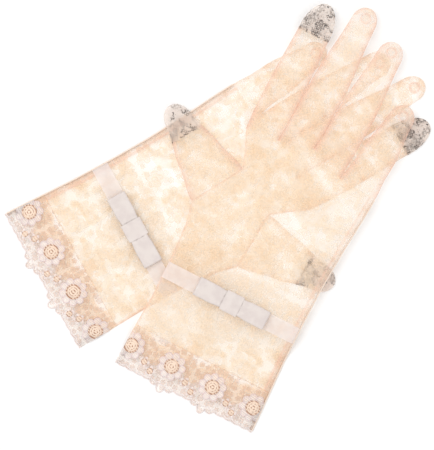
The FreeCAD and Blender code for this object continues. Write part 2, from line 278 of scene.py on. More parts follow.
class shaderSheet:                            # a small helper to lay out a node tree
    def __init__(self, name):
        self.material = bpy.data.materials.new(name)
        self.material.use_nodes = True
        self.tree = self.material.node_tree
        self.tree.nodes.clear()

    def node(self, kind, **settings):
        made = self.tree.nodes.new(kind)
        for key, value in settings.items():
            setattr(made, key, value)
        return made

    def link(self, source, target):
        self.tree.links.new(source, target)

    def put(self, target, value):
        if isinstance(value, bpy.types.NodeSocket):
            self.link(value, target)
        else:
            target.default_value = value

    def sum(self, operation, first, second=None, third=None):
        made = self.node("ShaderNodeMath", operation=operation)
        for socket, value in zip(made.inputs, (first, second, third)):
            if value is not None:
                self.put(socket, value)
        return made.outputs[0]

    def range(self, value, low, high, toLow=0.0, toHigh=1.0):
        made = self.node("ShaderNodeMapRange", interpolation_type="SMOOTHSTEP")
        for key, item in (("Value", value), ("From Min", low), ("From Max", high),
                          ("To Min", toLow), ("To Max", toHigh)):
            self.put(made.inputs[key], item)
        return made.outputs[0]

    def vector(self, operation, first, second=None, scale=None):
        made = self.node("ShaderNodeVectorMath", operation=operation)
        self.put(made.inputs[0], first)
        if second is not None:
            self.put(made.inputs[1], second)
        if scale is not None:
            self.put(made.inputs["Scale"], scale)
        return made.outputs["Value"] if operation in ("LENGTH", "DOT_PRODUCT") else made.outputs[0]

    def split(self, value):
        made = self.node("ShaderNodeSeparateXYZ")
        self.link(value, made.inputs[0])
        return made.outputs

    def cloth(self):
        return self.node("ShaderNodeUVMap", uv_map="cloth").outputs[0]

    def colour(self, share, first, second):
        made = self.node("ShaderNodeMix", data_type="RGBA")
        self.put(made.inputs[0], share)
        self.put(made.inputs[6], first)
        self.put(made.inputs[7], second)
        return made.outputs[2]

    def noise(self, vector, scale, detail=2.0, rough=0.5):
        made = self.node("ShaderNodeTexNoise", noise_dimensions="2D")
        self.link(vector, made.inputs["Vector"])
        made.inputs["Scale"].default_value = scale
        made.inputs["Detail"].default_value = detail
        made.inputs["Roughness"].default_value = rough
        return made.outputs[0]

    def more(self, value, mask, amount):      # value + mask * amount
        return self.sum("ADD", value, self.sum("MULTIPLY", mask, amount))

    def cells(self, vector, scale, randomness, feature):
        made = self.node("ShaderNodeTexVoronoi", voronoi_dimensions="2D", feature=feature)
        self.link(vector, made.inputs["Vector"])
        made.inputs["Scale"].default_value = scale
        made.inputs["Randomness"].default_value = randomness
        return made.outputs

    def wave(self, vector, scale, distortion, direction):
        made = self.node("ShaderNodeTexWave", wave_type="BANDS", bands_direction=direction)
        self.link(vector, made.inputs["Vector"])
        made.inputs["Scale"].default_value = scale
        made.inputs["Distortion"].default_value = distortion
        return made.outputs["Fac"]

    def rim(self):                            # how near a point is to the piece's own edge
        return self.node("ShaderNodeAttribute", attribute_name="rim").outputs["Fac"]

    def bump(self, height, strength, distance):
        made = self.node("ShaderNodeBump")
        made.inputs["Strength"].default_value = strength
        made.inputs["Distance"].default_value = distance
        self.link(height, made.inputs["Height"])
        return made.outputs[0]

    def surface(self, bump, **settings):      # a shader's plain sockets, set by their names
        made = self.node("ShaderNodeBsdfPrincipled")
        for key, value in settings.items():
            made.inputs[surfaceSockets[key]].default_value = value
        if bump is not None:
            self.link(bump, made.inputs["Normal"])
        return made

    def show(self, shader):
        out = self.node("ShaderNodeOutputMaterial")
        self.link(shader.outputs[0], out.inputs["Surface"])
        return self.material

    def thinCloth(self, tone, cover, bump, across, rough=0.72):
        # thread that scatters light back and through, with open net between
        surface = self.surface(bump, rough=rough, sheen=0.1, sheenRough=0.5, specular=0.2)
        self.put(surface.inputs["Base Color"], tone)
        through = self.node("ShaderNodeBsdfTranslucent")
        self.put(through.inputs["Color"], tone)
        cloths = self.node("ShaderNodeMixShader")
        cloths.inputs[0].default_value = across
        self.link(surface.outputs[0], cloths.inputs[1])
        self.link(through.outputs[0], cloths.inputs[2])
        clear = self.node("ShaderNodeBsdfTransparent")
        whole = self.node("ShaderNodeMixShader")
        self.put(whole.inputs[0], cover)
        self.link(clear.outputs[0], whole.inputs[1])
        self.link(cloths.outputs[0], whole.inputs[2])
        return self.show(whole)


surfaceSockets = {"rough": "Roughness", "sheen": "Sheen Weight", "sheenRough": "Sheen Roughness",
                  "specular": "Specular IOR Level", "anisotropic": "Anisotropic", "cover": "Alpha"}


def rgb(red, green, blue):
    def linear(value):
        value = value / 255
        return value / 12.92 if value <= 0.04045 else ((value + 0.055) / 1.055) ** 2.4
    return (linear(red), linear(green), linear(blue), 1.0)


def blossomMask(sheet, cloth, scale, petals, size, seedShift):
    # petalled blossoms scattered one to a cell, each turned its own way
    moved = sheet.vector("ADD", cloth, (seedShift, seedShift * 0.37, 0))
    cells = sheet.cells(moved, scale, 0.62, "F1")
    away = sheet.vector("SUBTRACT", moved, cells["Position"])
    parts = sheet.split(away)
    chance = sheet.split(cells["Color"])
    angle = sheet.more(sheet.sum("ARCTAN2", parts[1], parts[0]), chance[0], 6.28)
    reach = sheet.vector("LENGTH", away)
    lobes = sheet.sum("ABSOLUTE", sheet.sum("COSINE", sheet.sum("MULTIPLY", angle, petals / 2)))
    grown = sheet.sum("MULTIPLY", sheet.more(0.75, chance[1], 0.35), size)   # each blossom's own size
    edge = sheet.sum("MULTIPLY", sheet.more(0.58, lobes, 0.42), grown)
    within = sheet.sum("SUBTRACT", edge, reach)
    inside = sheet.range(within, -0.01, 0.035)
    outline = sheet.range(sheet.sum("ABSOLUTE", sheet.sum("SUBTRACT", within, 0.03)), 0.065, 0.02)
    ring = sheet.range(sheet.sum("ABSOLUTE", sheet.sum("SUBTRACT", reach, size * 0.26)), size * 0.12, 0.0)
    return inside, outline, ring


def leafMask(sheet, cloth, scale, long, wide, seedShift):
    # pointed leaves scattered one to a cell
    moved = sheet.vector("ADD", cloth, (seedShift, -seedShift * 0.61, 0))
    cells = sheet.cells(moved, scale, 0.8, "F1")
    away = sheet.vector("SUBTRACT", moved, cells["Position"])
    turn = sheet.node("ShaderNodeVectorRotate", rotation_type="Z_AXIS")
    sheet.link(away, turn.inputs["Vector"])
    chance = sheet.split(cells["Color"])
    sheet.link(sheet.sum("MULTIPLY", chance[2], 6.28), turn.inputs["Angle"])
    parts = sheet.split(turn.outputs[0])
    span = sheet.sum("DIVIDE", parts[0], long)
    half = sheet.sum("MULTIPLY", sheet.sum("SUBTRACT", 1.0, sheet.sum("MULTIPLY", span, span)), wide)
    return sheet.range(sheet.sum("SUBTRACT", half, sheet.sum("ABSOLUTE", parts[1])), -0.01, 0.03)


def laceMaterial(name, look):
    # net ground with blossoms, leaves and stems worked in denser thread
    sheet = shaderSheet(name)
    cloth = sheet.cloth()
    bend = sheet.noise(sheet.vector("ADD", cloth, (look["seed"] * 3, 0, 0)), 0.32, 2.0, 0.4)
    net = sheet.cells(cloth, look["netScale"], 0.35, "DISTANCE_TO_EDGE")
    thread = sheet.range(net["Distance"], 0.16, 0.04)
    scale, size, seed = look["blossomScale"], look["blossomSize"], look["seed"]
    inside, outline, ring = blossomMask(sheet, cloth, scale, 5, size, seed)
    small, smallLine, smallRing = blossomMask(sheet, cloth, scale * 1.9, 6, size * 0.36, seed + 3.1)
    leaves = leafMask(sheet, cloth, scale * 1.45, 0.42, 0.12, seed + 1.7)
    stem = sheet.range(sheet.sum("ABSOLUTE", sheet.sum("SUBTRACT", bend, 0.5)), 0.045, 0.028)
    motif = sheet.sum("MAXIMUM", inside, sheet.sum("MULTIPLY", leaves, 0.85))
    motif = sheet.sum("MAXIMUM", motif, sheet.sum("MULTIPLY", small, 0.8))
    lines = sheet.sum("MAXIMUM", sheet.sum("MAXIMUM", outline, ring),
                      sheet.sum("MAXIMUM", smallLine, smallRing))
    weave = sheet.wave(cloth, look["weaveScale"], 1.2, "DIAGONAL")
    cloudy = sheet.range(sheet.noise(cloth, 0.45, 2.0), 0.3, 0.7)
    rim = sheet.rim()
    along = sheet.split(cloth)[1]
    sleeve = sheet.range(along, look["sleeveEnd"] + 1.6, look["sleeveEnd"] - 1.6)
    cover = look["groundCover"]
    for mask, part in ((thread, "net"), (motif, "motif"), (lines, "line"), (cloudy, "cloud"), (stem, "stem"),
                       (sleeve, "sleeve"), (rim, "rim")):
        cover = sheet.more(cover, mask, look[f"{part}Cover"])
    cover = sheet.sum("MINIMUM", cover, 0.96)
    tone = sheet.colour(motif, look["groundTone"], look["motifTone"])
    tone = sheet.colour(sheet.sum("MULTIPLY", rim, 0.7), tone, look["rimTone"])
    height = sheet.more(sheet.sum("MULTIPLY", motif, 0.6), lines, 0.6)
    height = sheet.more(height, sheet.sum("ADD", thread, weave), 0.15)
    return sheet.thinCloth(tone, cover, sheet.bump(height, 0.5, 0.0003), look["across"])


laceLook = {
    "netScale": 7.0, "blossomScale": 0.70, "blossomSize": 0.56, "weaveScale": 9.0, "seed": 0.0,
    "groundCover": 0.03, "netCover": 0.03, "motifCover": 0.14, "lineCover": 0.21, "cloudCover": 0.03,
    "stemCover": 0.24, "sleeveEnd": 8.0, "sleeveCover": 0.15, "rimCover": 0.30, "across": 0.5,
    "groundTone": rgb(252, 240, 223), "motifTone": rgb(251, 233, 210), "rimTone": rgb(247, 217, 203),
}
backLace = laceMaterial("backLace", laceLook)
palmLace = laceMaterial("palmLace", {**laceLook, "seed": 5.3})


def plainThread(name, tone, dark, turns=700):
    # embroidery thread: a fine twist along the piece, with painted shade: the colour turns to the darker tone
    # in the twist's grooves, where its bump is low
    sheet = shaderSheet(name)
    place = sheet.node("ShaderNodeTexCoord").outputs["Object"]
    grain = sheet.node("ShaderNodeTexNoise")
    sheet.link(place, grain.inputs["Vector"])
    grain.inputs["Scale"].default_value = 900
    grain.inputs["Detail"].default_value = 3
    twist = sheet.wave(place, turns, 2.5, "DIAGONAL")
    bump = sheet.bump(sheet.sum("ADD", grain.outputs[0], twist), 0.6, 0.0002)
    surface = sheet.surface(bump, rough=0.7, sheen=0.3, specular=0.3)
    # painted shade: the twist wave that makes the bump also darkens the colour in its low grooves
    sheet.link(sheet.colour(sheet.range(twist, 0.2, 0.9), dark, tone), surface.inputs["Base Color"])
    return sheet.show(surface)


def petalMaterial():
    # open satin stitch inside, a closed outline of cord at each petal's edge
    sheet = shaderSheet("petalThread")
    rim = sheet.rim()
    place = sheet.node("ShaderNodeTexCoord").outputs["Object"]
    stitch = sheet.wave(place, 420, 3.0, "DIAGONAL")
    edge = sheet.range(rim, 0.68, 0.86)
    tone = sheet.colour(edge, rgb(255, 250, 247), rgb(244, 232, 232))
    fill = sheet.range(stitch, 0.1, 0.9, 0.55, 0.8)
    cover = sheet.sum("MAXIMUM", fill, sheet.sum("MULTIPLY", edge, 0.95))
    return sheet.thinCloth(tone, cover, sheet.bump(sheet.more(edge, stitch, 0.4), 0.35, 0.0002), 0.4)


petalLace = petalMaterial()
# each thread's second colour is painted shade in the twist's grooves; on the ring thread it is also the
# cord's real brown dots
seamThread = plainThread("seamThread", rgb(253, 238, 222), rgb(247, 224, 206))
edgeThread = plainThread("edgeThread", rgb(253, 244, 240), rgb(238, 222, 220))
cornerThread = plainThread("cornerThread", rgb(196, 164, 150), rgb(146, 114, 102))
eyeThread = plainThread("eyeThread", rgb(255, 240, 224), rgb(247, 218, 194))
ringThread = plainThread("ringThread", rgb(252, 226, 204), rgb(178, 132, 106), turns=300)
print("materials made")


def handPoint(glove, upper):
    def pointAt(column, row):
        crotches = [x for x, y in handShape["knuckles"]]
        endX = mix(crotches[0], crotches[-1], column)
        start = handShape["edgingDeep"]
        y = mix(start, knuckleAlong(endX), row)
        left, right = handEdges(y)
        x = mix(left, right, column)
        point = surfacePoint(glove, x, y, upper)
        gap = min(x - left, right - x)
        inward = right - x - handShape["allowance"]
        allowance = max(0.0, 1.2 - abs(inward) / 0.9, 0.4 if inward < 0 else 0.0)
        return x * mm, y * mm, point.z, max(1 - gap / handShape["rimWide"], allowance)
    return pointAt


def clothPlace(x, y):                         # the pattern's place, in centimetres, runs on over the pieces
    return x * 100, y * 100


def makeHand(glove):
    for upper, part, lace in ((False, "Palm", palmLace), (True, "Back", backLace)):
        name = f"{glove.name}{part}Lace"
        mesh = wovenSheet(glove, name, *handShape["grid"], handPoint(glove, upper), clothPlace, not upper)
        panel = addObject(name, mesh, [lace], glove.body, [f"{glove.name}_{part.lower()}_panel"])


fingerShape = {
    "index": {"reach": 83.6, "tip": 18.8, "waist": 21.2, "round": 1.9, "capped": True, "bend": (2.5, 11)},
    "middle": {"reach": 87.5, "tip": 14.8, "waist": 20.9, "round": 1.2, "capped": False, "bend": (2.6, 11)},
    "ring": {"reach": 79.5, "tip": 14.8, "waist": 20.9, "round": 1.2, "capped": False, "bend": (5, 13)},
    "little": {"reach": 55.5, "tip": 14.6, "waist": 20.6, "round": 1.2, "capped": False, "bend": (1.8, 10)},
    "thumb": {"reach": 52.8, "tip": 16.0, "waist": 26.4, "round": 1.4, "capped": True, "bend": (1.5, 12)},
}
fingerMake = {
    "around": 48, "steps": 60, "puff": 2.7, "flat": 0.12,
    "rim": 1.25, "rimLeft": 0.55, "rimCap": 0.6,          # how strong the sides' creases are
    "buttonBack": 6.2, "buttonRadius": 2.7,               # the small round that closes a fingertip
    "capLong": 19.5, "capOver": 1.2, "flatEase": 1.02,
    "littleTrim": 5.5,    # off the little finger's declared length only, so that its layers are counted right
    "spread": 14.0, "thumbSpread": 22.0,                  # how far the root's slant reaches up the finger
}


def fingerRoot(name):                         # the stretch of the hand's outline that the finger leaves from
    if name == "thumb":
        return handShape["thumbRoot"]
    index = fingerNames.index(name)
    return handShape["knuckles"][index], handShape["knuckles"][index + 1]


def fingerAxis(name):                         # root point and direction, from the hinge of the right glove
    joint = joints[f"right_{name}_fold"]
    root = rightFrame.local(joint["pos_m"])
    axis = Vector(joint["axis"])
    direction = Vector((0, 0, 1)).cross(axis)
    return (Vector((root[0] / mm, root[1] / mm)),
            Vector((direction.dot(rightFrame.across), direction.dot(rightFrame.along))))


def fingerPoint(name, share, away):           # a place on the finger: share across -1..1, away from the root
    shape = fingerShape[name]
    root, direction = fingerAxis(name)
    normal = Vector((direction.y, -direction.x))
    rounding = shape["tip"] / 2 * shape["round"]
    bulb = max(0.0, (away - (shape["reach"] - rounding)) / rounding)
    narrowing = smooth((away - (shape["reach"] - rounding) * 0.45) / ((shape["reach"] - rounding) * 0.6))
    half = mix(shape["waist"], shape["tip"], narrowing) / 2
    half *= (1 - min(bulb, 1) ** 2.1) ** 0.5
    regular = root + direction * away + normal * share * half
    low, high = fingerRoot(name)
    start = Vector(low).lerp(Vector(high), (share + 1) / 2)
    offset = start - (root + normal * share * shape["waist"] / 2)
    spread = fingerMake["thumbSpread" if name == "thumb" else "spread"]
    return regular + offset * (1 - smooth(away / spread)), half


def fingerRise(name, share, away):
    shape = fingerShape[name]
    end = smooth((shape["reach"] - away) / 9.0)
    return fingerMake["puff"] * (1 - share * share) ** 0.5 * mix(0.35, 1, end)


def fingerTube(glove, name, start, end, swell, closeEnd):
    # a ring of vertices, extruded along the finger and pressed flat underneath
    work, cloth, rim = startCloth()
    around = fingerMake["around"]
    ring = bmesh.ops.create_circle(work, segments=around, radius=1.0)["verts"]
    steps = max(6, int(fingerMake["steps"] * (end - start) / fingerShape[name]["reach"]))
    rings = growRows(work, ring, work.edges[:], steps)
    places = {}
    for step, vertices in enumerate(rings):
        part = step / steps
        part = 1 - (1 - part) ** 1.5 if closeEnd else part
        away = mix(start, end, part)
        for index, vertex in enumerate(vertices):
            angle = 2 * math.pi * index / around
            share = math.cos(angle)
            point, half = fingerPoint(name, share, away)
            upper = math.sin(angle) >= 0
            height = restHeight(glove, point.x * mm, point.y * mm)
            if upper:
                rise = 0.2 + fingerRise(name, share, away) + swell
                if name != "thumb":
                    rise = mix(rise, upperRise(point.x, min(point.y, knuckleAlong(point.x))),
                               1 - smooth(away / 10))
                wrinkle = wrinkleAt(point.x, point.y, glove.side * 5) * min(rise / 2, 1)
                height += (rise + wrinkle * (1 - abs(share))) * mm
            else:
                height -= fingerMake["flat"] * mm * abs(math.sin(angle)) * (1 if start > 0 else 0)
            spread = 1 + swell / max(half, 1) if half > 1 else 1
            middle, _ = fingerPoint(name, 0, away)
            point = middle + (point - middle) * spread
            vertex.co = glove.place(point.x * mm, point.y * mm, height)
            border = max(0.0, 1 - half * (1 - abs(share)) / 3.8)
            border *= fingerMake["rimCap" if start > 0 else "rim" if glove.side > 0 else "rimLeft"]
            if closeEnd and start == 0:
                out = math.hypot(half * share, away - fingerShape[name]["reach"] + fingerMake["buttonBack"])
                border = max(border, 1.4 - 1.3 * abs(out - fingerMake["buttonRadius"]))
            vertex[rim] = border
            places[vertex] = (point.x / 10 + (0 if upper else 0.7), point.y / 10)
    mapCloth(work, cloth, places)
    if closeEnd:
        middle = sum((vertex.co for vertex in rings[-1]), Vector()) / around
        bmesh.ops.pointmerge(work, verts=rings[-1], merge_co=middle)
    bmesh.ops.dissolve_degenerate(work, dist=1e-7, edges=work.edges[:])
    bmesh.ops.recalc_face_normals(work, faces=work.faces[:])
    work.normal_update()
    top = max(work.faces, key=lambda face: face.calc_center_median().z)
    return finishMesh(work, name, turn=top.normal.z < 0)


def makeFinger(glove, name):
    shape = fingerShape[name]
    capStart = shape["reach"] - fingerMake["capLong"]
    capped = shape["capped"]
    pieceName = f"{glove.name}{name.title()}"
    sleeveEnd = capStart + fingerMake["capOver"] if capped else shape["reach"]
    mesh = fingerTube(glove, name, 0, sleeveEnd, 0.0, not capped)
    moving = glove.side > 0
    piece = addObject(f"{pieceName}Sleeve", mesh, [backLace], None if moving else glove.body,
                      [f"{glove.name}_{name}"])
    if moving:
        root, direction = fingerAxis(name)
        first, last = shape["bend"]
        height = joints[f"right_{name}_fold"]["pos_m"][2]
        places = [glove.place(*((root + direction * away) * mm), height) for away in (first, last)]
        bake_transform(piece)
    if capped:
        tip = fingerTube(glove, name, capStart, shape["reach"], 0.12, True)
        body = f"right_{name}_finger" if moving else glove.body
        cap = addObject(f"{pieceName}TouchTip", tip, [tipMesh], body,
                        [f"{glove.name}_{name}_touch_tip"])


tipLook = {
    "net": rgb(244, 228, 218), "dark": rgb(40, 32, 30), "pale": rgb(252, 239, 228),
    "pitch": 0.14, "patchScale": 1.3, "cover": 0.38,
}


def touchTipMaterial():
    # pinkish-grey net with black conductive thread worked in broken patches
    sheet = shaderSheet("touchTipNet")
    cloth = sheet.cloth()
    parts = sheet.split(cloth)
    threads = []
    for side in (1, -1):                      # two sets of thin threads crossing on the bias
        lean = sheet.sum("ADD", sheet.sum("MULTIPLY", parts[0], side), parts[1])
        stripe = sheet.sum("PINGPONG", lean, tipLook["pitch"] / 2)
        threads.append(sheet.range(stripe, tipLook["pitch"] * 0.15, tipLook["pitch"] * 0.05))
    hatch = sheet.sum("MAXIMUM", threads[0], threads[1])
    patch = sheet.noise(cloth, tipLook["patchScale"], 4.0, 0.65)
    woven = sheet.sum("MULTIPLY", hatch, sheet.range(patch, 0.535, 0.565))
    knots = sheet.range(sheet.noise(cloth, tipLook["patchScale"] * 2.6, 3.0, 0.7), 0.67, 0.70)
    _, outline, ring = blossomMask(sheet, cloth, 1.3, 5, 0.36, 2.2)
    lines = sheet.sum("MULTIPLY", sheet.sum("MAXIMUM", outline, ring), sheet.range(patch, 0.47, 0.54))
    dark = sheet.sum("MAXIMUM", woven, sheet.sum("MAXIMUM", knots, sheet.sum("MULTIPLY", lines, 0.8)))
    cover = sheet.more(tipLook["cover"], dark, 0.5)
    cloudy = sheet.range(sheet.noise(cloth, 2.0, 2.0), 0.35, 0.65)
    tone = sheet.colour(cloudy, tipLook["net"], tipLook["pale"])
    tone = sheet.colour(dark, tone, tipLook["dark"])
    return sheet.thinCloth(tone, cover, sheet.bump(hatch, 0.5, 0.0003), 0.35, 0.6)


tipMesh = touchTipMaterial()

edgingShape = {
    "flowerPitch": 26.0, "flowerShift": -1.0, "flowerAlong": 13.5, "flowers": 4,
    "edge": 1.0, "backEdge": 2.4, "tooth": 1.0, "teethPerPitch": 5,
    "lobes": [(-5.2, 1.8, 2.2), (-0.4, 4.4, 2.5), (4.4, 2.2, 2.2)],   # place across, how far out, half width
    "bandLow": 13.5, "bandHigh": 24.6, "bandSwing": 5.0, "underHand": 0.6, "cord": 0.24,
    "grid": (200, 22),
}


def flowerAcross(index):
    steps = index + 0.5 - edgingShape["flowers"] / 2
    return edgingShape["flowerShift"] + steps * edgingShape["flowerPitch"]


def cuffEdge(x, upper):
    teeth = abs(math.sin(math.pi * edgingShape["teethPerPitch"] * (x - edgingShape["flowerShift"])
                         / edgingShape["flowerPitch"]))
    if upper:
        return edgingShape["backEdge"] - edgingShape["tooth"] * teeth
    edge = edgingShape["edge"] - edgingShape["tooth"] * 0.6 * teeth
    for index in range(1, edgingShape["flowers"] - 1):
        for across, out, half in edgingShape["lobes"]:
            away = abs(x - flowerAcross(index) - across) / half
            if away < 1:
                edge = min(edge, edgingShape["edge"] - out * (1 - away ** 2.2) ** 0.6)
    return edge


def edgingPoint(glove, upper):
    def pointAt(column, row):
        left, right = handEdges(2)
        x = mix(left, right, column)
        y = mix(cuffEdge(x, upper), handShape["edgingDeep"] + edgingShape["underHand"], row)
        left, right = handEdges(y)
        x = mix(left, right, column)
        point = surfacePoint(glove, x, y, upper, 0.12 if upper else 0.0)
        gap = min(x - left, right - x, (y - cuffEdge(x, upper)) * 1.6)
        return x * mm, y * mm, point.z, max(0.0, 1 - gap / 1.6)
    return pointAt


def edgingMaterial(name, look):
    # close net with small worked leaves, and a dense band that swings over each flower
    sheet = shaderSheet(name)
    cloth = sheet.cloth()
    parts = sheet.split(cloth)
    net = sheet.cells(cloth, 11.0, 0.3, "DISTANCE_TO_EDGE")
    thread = sheet.range(net["Distance"], 0.2, 0.05)
    pitch = edgingShape["flowerPitch"] / 10
    turn = sheet.sum("MULTIPLY", sheet.sum("SUBTRACT", parts[0], flowerAcross(0) / 10), 2 * math.pi / pitch)
    swing = sheet.sum("MULTIPLY", sheet.sum("COSINE", turn), edgingShape["bandSwing"] / 10)
    wobble = sheet.sum("MULTIPLY", sheet.sum("SUBTRACT", sheet.noise(cloth, 2.4, 3.0), 0.5), 0.8)
    along = sheet.sum("ADD", parts[1], wobble)
    above = sheet.sum("SUBTRACT", along, sheet.sum("ADD", swing, edgingShape["bandLow"] / 10))
    below = sheet.sum("SUBTRACT", sheet.more(edgingShape["bandHigh"] / 10, swing, 0.4), along)
    band = sheet.range(sheet.sum("MINIMUM", above, below), -0.12, 0.12)
    leaves = leafMask(sheet, cloth, 2.3, 0.30, 0.1, 0.9)
    small, smallLine, smallRing = blossomMask(sheet, cloth, 2.6, 5, 0.17, 7.7)
    motif = sheet.sum("MAXIMUM", leaves, small)
    lines = sheet.sum("MAXIMUM", smallLine, smallRing)
    rim = sheet.rim()
    cover = look["ground"]
    for mask, part in ((thread, "net"), (motif, "motif"), (lines, "line"), (band, "band"), (rim, "rim")):
        cover = sheet.more(cover, mask, look[part])
    cover = sheet.sum("MINIMUM", cover, 0.97)
    tone = sheet.colour(motif, look["groundTone"], look["motifTone"])
    tone = sheet.colour(band, tone, look["bandTone"])
    tone = sheet.colour(sheet.sum("MULTIPLY", lines, 0.6), tone, look["lineTone"])
    height = sheet.more(sheet.sum("ADD", motif, lines), thread, 0.3)
    return sheet.thinCloth(tone, cover, sheet.bump(height, 0.7, 0.0004), 0.45)


edgingLook = {
    "ground": 0.08, "net": 0.05, "motif": 0.10, "line": 0.20, "band": 0.14, "rim": 0.12,
    "groundTone": rgb(255, 244, 231), "motifTone": rgb(255, 248, 242), "bandTone": rgb(255, 228, 196),
    "lineTone": rgb(245, 214, 196),
}
edgingLace = edgingMaterial("edgingLace", edgingLook)
edgingUnder = edgingMaterial("edgingUnderLace", {**edgingLook, "ground": 0.15, "band": 0.08,
                                                 "groundTone": rgb(255, 241, 226)})

flowerShape = {
    "petals": 9, "petalLong": 5.2, "petalWide": 4.7, "petalOut": 5.6, "petalHigh": 0.34,
    "eyeRadius": 3.8, "eyeHigh": 0.6, "ringRadius": 4.0, "ringThread": 0.36, "dot": 1.0,
    "smallPetals": 5, "smallScale": 0.40,
}


def flowerMeshes(name, scale, petals):
    # one flower at the origin: petals round a domed eye, a ring of cord and a dot
    shape = flowerShape
    parts = []
    work = bmesh.new()
    rim = work.verts.layers.float.new("rim")
    for index in range(petals):
        made = bmesh.ops.create_uvsphere(work, u_segments=18, v_segments=8, radius=1.0)["verts"]
        for vertex in made:
            vertex[rim] = math.hypot(vertex.co.x, vertex.co.y)
        bmesh.ops.scale(work, verts=made, vec=(shape["petalLong"] / 2 * scale, shape["petalWide"] / 2 * scale,
                                               shape["petalHigh"] * scale ** 0.5))
        for vertex in made:                   # a dip along the petal's middle
            dip = max(0.0, 1 - abs(vertex.co.y) / (shape["petalWide"] * 0.22 * scale))
            vertex.co.z -= 0.28 * shape["petalHigh"] * dip if vertex.co.z > 0 else 0
        bmesh.ops.translate(work, verts=made, vec=(shape["petalOut"] * scale, 0, 0.1))
        turned = Matrix.Rotation(2 * math.pi * index / petals, 3, "Z")
        bmesh.ops.rotate(work, verts=made, cent=(0, 0, 0), matrix=turned)
    parts.append((finishMesh(work, f"{name}Petals"), 0))
    work = bmesh.new()
    eye = bmesh.ops.create_uvsphere(work, u_segments=20, v_segments=10, radius=1.0)["verts"]
    bmesh.ops.scale(work, verts=eye, vec=(shape["eyeRadius"] * scale, shape["eyeRadius"] * scale,
                                          shape["eyeHigh"] * scale ** 0.5))
    bmesh.ops.translate(work, verts=eye, vec=(0, 0, 0.15))
    parts.append((finishMesh(work, f"{name}Eye"), 1))
    for radius, thick in ((shape["ringRadius"], shape["ringThread"]), (shape["dot"], shape["ringThread"]),
                          (shape["ringRadius"] * 0.6, shape["ringThread"] * 0.5)):
        circle = [Vector((radius * scale * math.cos(a), radius * scale * math.sin(a), 0.62 * scale ** 0.5))
                  for a in [2 * math.pi * k / 20 for k in range(20)]]
        parts.append((threadAlong(f"{name}Ring", circle, thick * scale ** 0.7, closed=True), 2))
    return parts


def layFlower(glove, name, centre, scale, petals, turned):
    # the flower is laid on the cuff's upper layer, and what would pass the cuff's sides is folded in
    work = bmesh.new()
    work.verts.layers.float.new("rim")
    kinds = []
    for mesh, kind in flowerMeshes(name, scale, petals):
        before = len(work.faces)
        work.from_mesh(mesh)
        work.faces.ensure_lookup_table()
        kinds += [kind] * (len(work.faces) - before)
        bpy.data.meshes.remove(mesh)
    bmesh.ops.rotate(work, verts=work.verts[:], cent=(0, 0, 0), matrix=Matrix.Rotation(turned, 3, "Z"))
    for vertex in work.verts:
        x, y = centre[0] + vertex.co.x, centre[1] + vertex.co.y
        left, right = handEdges(y)
        limit = min(max(x, left + 0.15), right - 0.15)
        over = abs(x - limit)
        ground = surfacePoint(glove, limit, y, True, 0.2)
        vertex.co = ground + Vector((0, 0, (vertex.co.z * max(0.25, 1 - over * 0.5)
                                            - min(over, 2.0) * 0.15) * mm))
    for face, kind in zip(work.faces, kinds):
        face.material_index = kind
    if glove.side < 0:
        bmesh.ops.reverse_faces(work, faces=work.faces[:])
    return finishMesh(work, name)


def makeEdging(glove):
    for upper, part, material in ((False, "Palm", edgingUnder), (True, "Back", edgingLace)):
        name = f"{glove.name}Edging{part}"
        mesh = wovenSheet(glove, name, *edgingShape["grid"], edgingPoint(glove, upper), clothPlace, not upper)
        piece = addObject(name, mesh, [material], glove.body,
                          [f"{glove.name}_edging_{part.lower()}"])
        rim = [surfacePoint(glove, x, cuffEdge(x, upper), upper, 0.15)
               for x in [mix(handEdges(1)[0], handEdges(1)[1], k / 400) for k in range(401)]]
        cord = threadAlong(f"{name}Cord", rim, edgingShape["cord"] * mm)
        addObject(f"{name}Cord", cord, [edgeThread], glove.body)
    for index in range(edgingShape["flowers"]):
        name = f"{glove.name}Flower{index + 1}"
        centre = (flowerAcross(index), edgingShape["flowerAlong"])
        mesh = layFlower(glove, name, centre, 1.0, flowerShape["petals"], 0.2 * index)
        addObject(name, mesh, [petalLace, eyeThread, ringThread], glove.body,
                  [f"{glove.name}_flower_{index + 1}"])
    sprigs = []
    for index in range(edgingShape["flowers"] - 1):
        for share, along in ((0.42, 8.7), (0.62, 5.4)):
            centre = (flowerAcross(index) + edgingShape["flowerPitch"] * share, along)
            sprigs.append(layFlower(glove, "sprig", centre, flowerShape["smallScale"],
                                    flowerShape["smallPetals"], 0.5 * share))
    addObject(f"{glove.name}SmallFlowers", joinMeshes(f"{glove.name}SmallFlowers", sprigs),
              [petalLace, eyeThread, ringThread], glove.body)


for glove in (leftFrame, rightFrame):
    makeHand(glove)
    makeEdging(glove)
    for name in ["thumb"] + fingerNames:
        makeFinger(glove, name)
print("gloves made")

ribbonShape = {
    "along": 61.0, "wide": 9.8, "over": 0.35, "thick": 0.28,
    "bowHalf": 22.0, "bowWide": 11.2, "loopHigh": 2.1, "loopUnder": 0.25, "loopDip": 0.15,
    "knotHalf": 5.2, "knotWide": 12.2, "knotHigh": 2.1, "lip": 0.2, "pleat": 0.12, "squareness": 5.0,
}


def satinMaterial(name, tone, shade, cover):
    sheet = shaderSheet(name)
    cloth = sheet.cloth()
    soft = sheet.noise(cloth, 1.6, 3.0)
    bump = sheet.bump(sheet.wave(cloth, 12.0, 0.6, "Y"), 0.25, 0.0002)
    surface = sheet.surface(bump, rough=0.34, anisotropic=0.5, sheen=0.3, cover=cover)
    sheet.link(sheet.colour(sheet.range(soft, 0.35, 0.65), shade, tone), surface.inputs["Base Color"])
    return sheet.show(surface)


bandSatin = satinMaterial("bandSatin", rgb(250, 241, 238), rgb(244, 232, 228), 0.6)
bowSatin = satinMaterial("bowSatin", rgb(228, 217, 211), rgb(221, 209, 204), 1.0)


